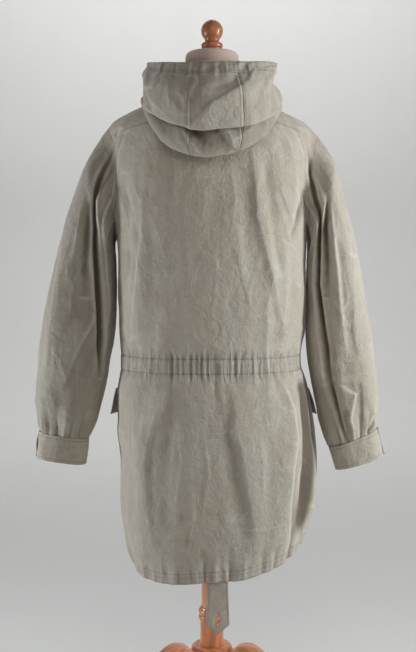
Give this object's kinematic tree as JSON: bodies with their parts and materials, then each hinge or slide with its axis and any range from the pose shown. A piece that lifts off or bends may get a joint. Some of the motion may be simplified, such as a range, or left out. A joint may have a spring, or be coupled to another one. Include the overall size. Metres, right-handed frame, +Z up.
{
  "type": "anorak smock on a dress form",
  "caption": "Hooded pull-over anorak smock with a drawn waist, gathered hem and tail strap, worn on a limbless dress form with a turned wooden stand.",
  "frame": {"origin": "on the floor, under the middle of the whole part's box", "axes": "+Z up, the smock's front faces -Y, the wearer's left is +X"},
  "size_m": [0.6978, 0.4832, 1.43],
  "materials": {
    "cotton": "faded grey-beige tight plain weave, matt, worn pale along creases and seams",
    "form_cover": "matt pinkish beige knit cover",
    "wood": "orange-brown stain under gloss varnish"
  },
  "bodies": {
    "root": {"back_panel": "cotton", "front_panel": "cotton", "sleeve_left": "cotton", "sleeve_right": "cotton", "cuff_left": "cotton", "cuff_right": "cotton", "hood_left": "cotton", "hood_centre": "cotton", "hood_right": "cotton", "hood_band": "cotton", "tail_strap": "cotton", "pocket_flap_left": "cotton", "pocket_flap_right": "cotton", "form_torso": "form_cover", "neck_cap": "form_cover", "finial": "wood", "pole": "wood", "pole_collar": "wood", "hub": "wood", "leg_1": "wood", "leg_2": "wood", "leg_3": "wood"}
  },
  "joints": []
}
